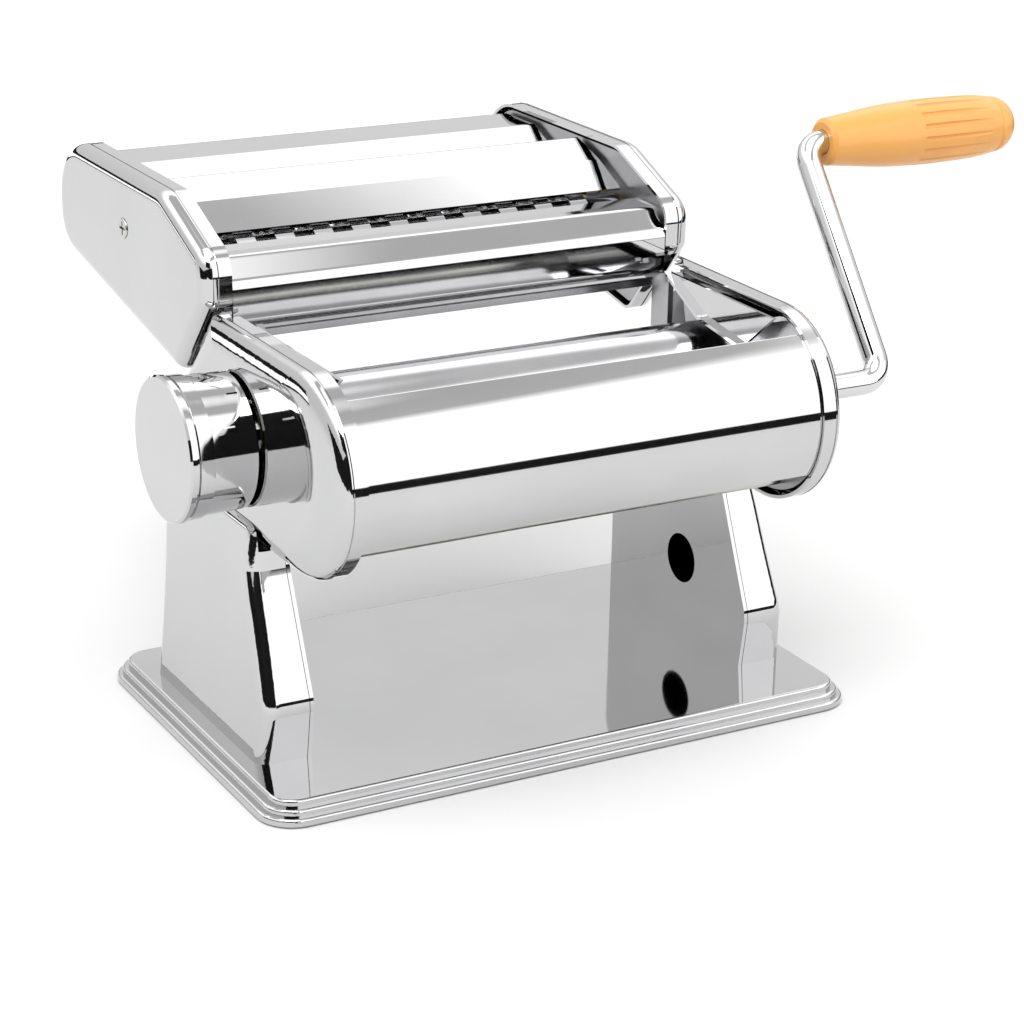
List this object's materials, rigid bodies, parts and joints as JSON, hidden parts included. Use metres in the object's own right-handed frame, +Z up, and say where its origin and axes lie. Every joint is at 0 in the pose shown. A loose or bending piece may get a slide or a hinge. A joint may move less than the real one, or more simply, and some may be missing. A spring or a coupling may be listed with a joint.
{
  "type": "pasta roller machine",
  "caption": "Hand-cranked pasta machine: two smooth rollers with a thickness dial, a lift-off cutter unit with wide and fine cutters, and a removable crank.",
  "frame": {"origin": "middle of the base's underside", "axes": "+X towards the crank, +Y towards the rear and the cutter unit, +Z up"},
  "size_m": [0.312, 0.2127, 0.1733],
  "materials": {
    "chrome": "mirror-polished chromium plating on pressed sheet steel",
    "roller_steel": "ground and hard-chromed steel rollers",
    "plain_steel": "plain stamped steel",
    "gear_steel": "sintered steel, lightly oiled",
    "spring_steel": "thin spring strip",
    "zinc": "bright zinc-plated fasteners",
    "brass": "turned bearing metal",
    "rubber": "black anti-slip rubber",
    "grip_plastic": "semi-gloss orange-yellow moulded plastic"
  },
  "bodies": {
    "root": {"base_bolts": "zinc", "base_mat": "rubber", "base_plate": "chrome", "body_cap_left": "chrome", "body_cap_right": "chrome", "crank_port_ring": "chrome", "cutter_rail_left": "plain_steel", "cutter_rail_right": "plain_steel", "dial_bearing": "brass", "dough_guide_left": "chrome", "dough_guide_right": "chrome", "frame_bolts": "zinc", "front_cover": "chrome", "front_roller_bushes": "brass", "front_scraper": "spring_steel", "leg_panel_left": "chrome", "leg_panel_right": "chrome", "leg_shell_left": "chrome", "leg_shell_right": "chrome", "rear_cover": "chrome", "rear_scraper": "spring_steel", "side_frame_left": "plain_steel", "side_frame_right": "plain_steel", "tie_rod_nuts": "zinc", "tie_rods": "zinc"},
    "front_roller": {"front_roller": "roller_steel", "front_roller_gear": "gear_steel"},
    "crank": {"crank_rod": "chrome", "grip_retainer": "zinc"},
    "grip": {"crank_grip": "grip_plastic"},
    "rear_blocks": {"rear_roller_blocks": "brass"},
    "rear_roller": {"rear_roller": "roller_steel", "rear_roller_gear": "gear_steel"},
    "dial_shaft": {"dial_shaft": "chrome"},
    "dial_knob": {"dial_knob": "chrome"},
    "cutter_unit": {"cutter_bushes": "brass", "cutter_cap_left": "chrome", "cutter_cap_right": "chrome", "cutter_frame_left": "plain_steel", "cutter_frame_right": "plain_steel", "cutter_front_cover": "chrome", "cutter_partition": "chrome", "cutter_port_rings": "chrome", "cutter_rear_cover": "chrome", "cutter_rod_nuts": "zinc", "cutter_rods": "zinc", "wide_combs": "spring_steel", "fine_combs": "spring_steel", "cap_screws": "zinc"},
    "wide_front": {"wide_front_roller": "roller_steel", "wide_front_gear": "gear_steel"},
    "wide_rear": {"wide_rear_roller": "roller_steel", "wide_rear_gear": "gear_steel"},
    "fine_front": {"fine_front_roller": "roller_steel", "fine_front_gear": "gear_steel"},
    "fine_rear": {"fine_rear_roller": "roller_steel", "fine_rear_gear": "gear_steel"}
  },
  "joints": [
    {"name": "front_roller_spin", "type": "hinge", "parent": "root", "child": "front_roller", "pos_m": [0, -0.0384, 0.0975], "axis": [1, 0, 0], "continuous": true},
    {"name": "crank_pull", "type": "slide", "parent": "front_roller", "child": "crank", "axis": [1, 0, 0], "range_m": [0, 0.022]},
    {"name": "grip_spin", "type": "hinge", "parent": "crank", "child": "grip", "pos_m": [0, 0.0115, 0.1626], "axis": [1, 0, 0], "continuous": true},
    {"name": "knob_turn", "type": "hinge", "parent": "root", "child": "dial_shaft", "pos_m": [0, -0.0045, 0.0975], "axis": [1, 0, 0], "range_deg": [0, 240]},
    {"name": "knob_pull", "type": "slide", "parent": "dial_shaft", "child": "dial_knob", "axis": [-1, 0, 0], "range_m": [0, 0.004], "stiffness_N_per_m": 600, "springref_m": -0.008},
    {"name": "roller_gap", "type": "slide", "parent": "root", "child": "rear_blocks", "axis": [0, 1, 0], "range_m": [-0.0021, 0]},
    {"name": "rear_roller_spin", "type": "hinge", "parent": "rear_blocks", "child": "rear_roller", "pos_m": [0, -0.0045, 0.0975], "axis": [1, 0, 0], "continuous": true},
    {"name": "cutter_lift", "type": "slide", "parent": "root", "child": "cutter_unit", "axis": [0, 0, 1], "range_m": [0, 0.045]},
    {"name": "wide_front_spin", "type": "hinge", "parent": "cutter_unit", "child": "wide_front", "pos_m": [0, 0.0328, 0.1315], "axis": [1, 0, 0], "continuous": true},
    {"name": "wide_rear_spin", "type": "hinge", "parent": "cutter_unit", "child": "wide_rear", "pos_m": [0, 0.05015, 0.1345], "axis": [1, 0, 0], "continuous": true},
    {"name": "fine_front_spin", "type": "hinge", "parent": "cutter_unit", "child": "fine_front", "pos_m": [0, 0.0735, 0.129], "axis": [1, 0, 0], "continuous": true},
    {"name": "fine_rear_spin", "type": "hinge", "parent": "cutter_unit", "child": "fine_rear", "pos_m": [0, 0.09085, 0.132], "axis": [1, 0, 0], "continuous": true}
  ],
  "couplings": [
    {"joint": "rear_roller_spin", "follows": "front_roller_spin", "ratio": -1},
    {"joint": "knob_turn", "follows": "roller_gap", "rad_per_m": -1994.7},
    {"joint": "wide_rear_spin", "follows": "wide_front_spin", "ratio": -1},
    {"joint": "fine_rear_spin", "follows": "fine_front_spin", "ratio": -1}
  ]
}
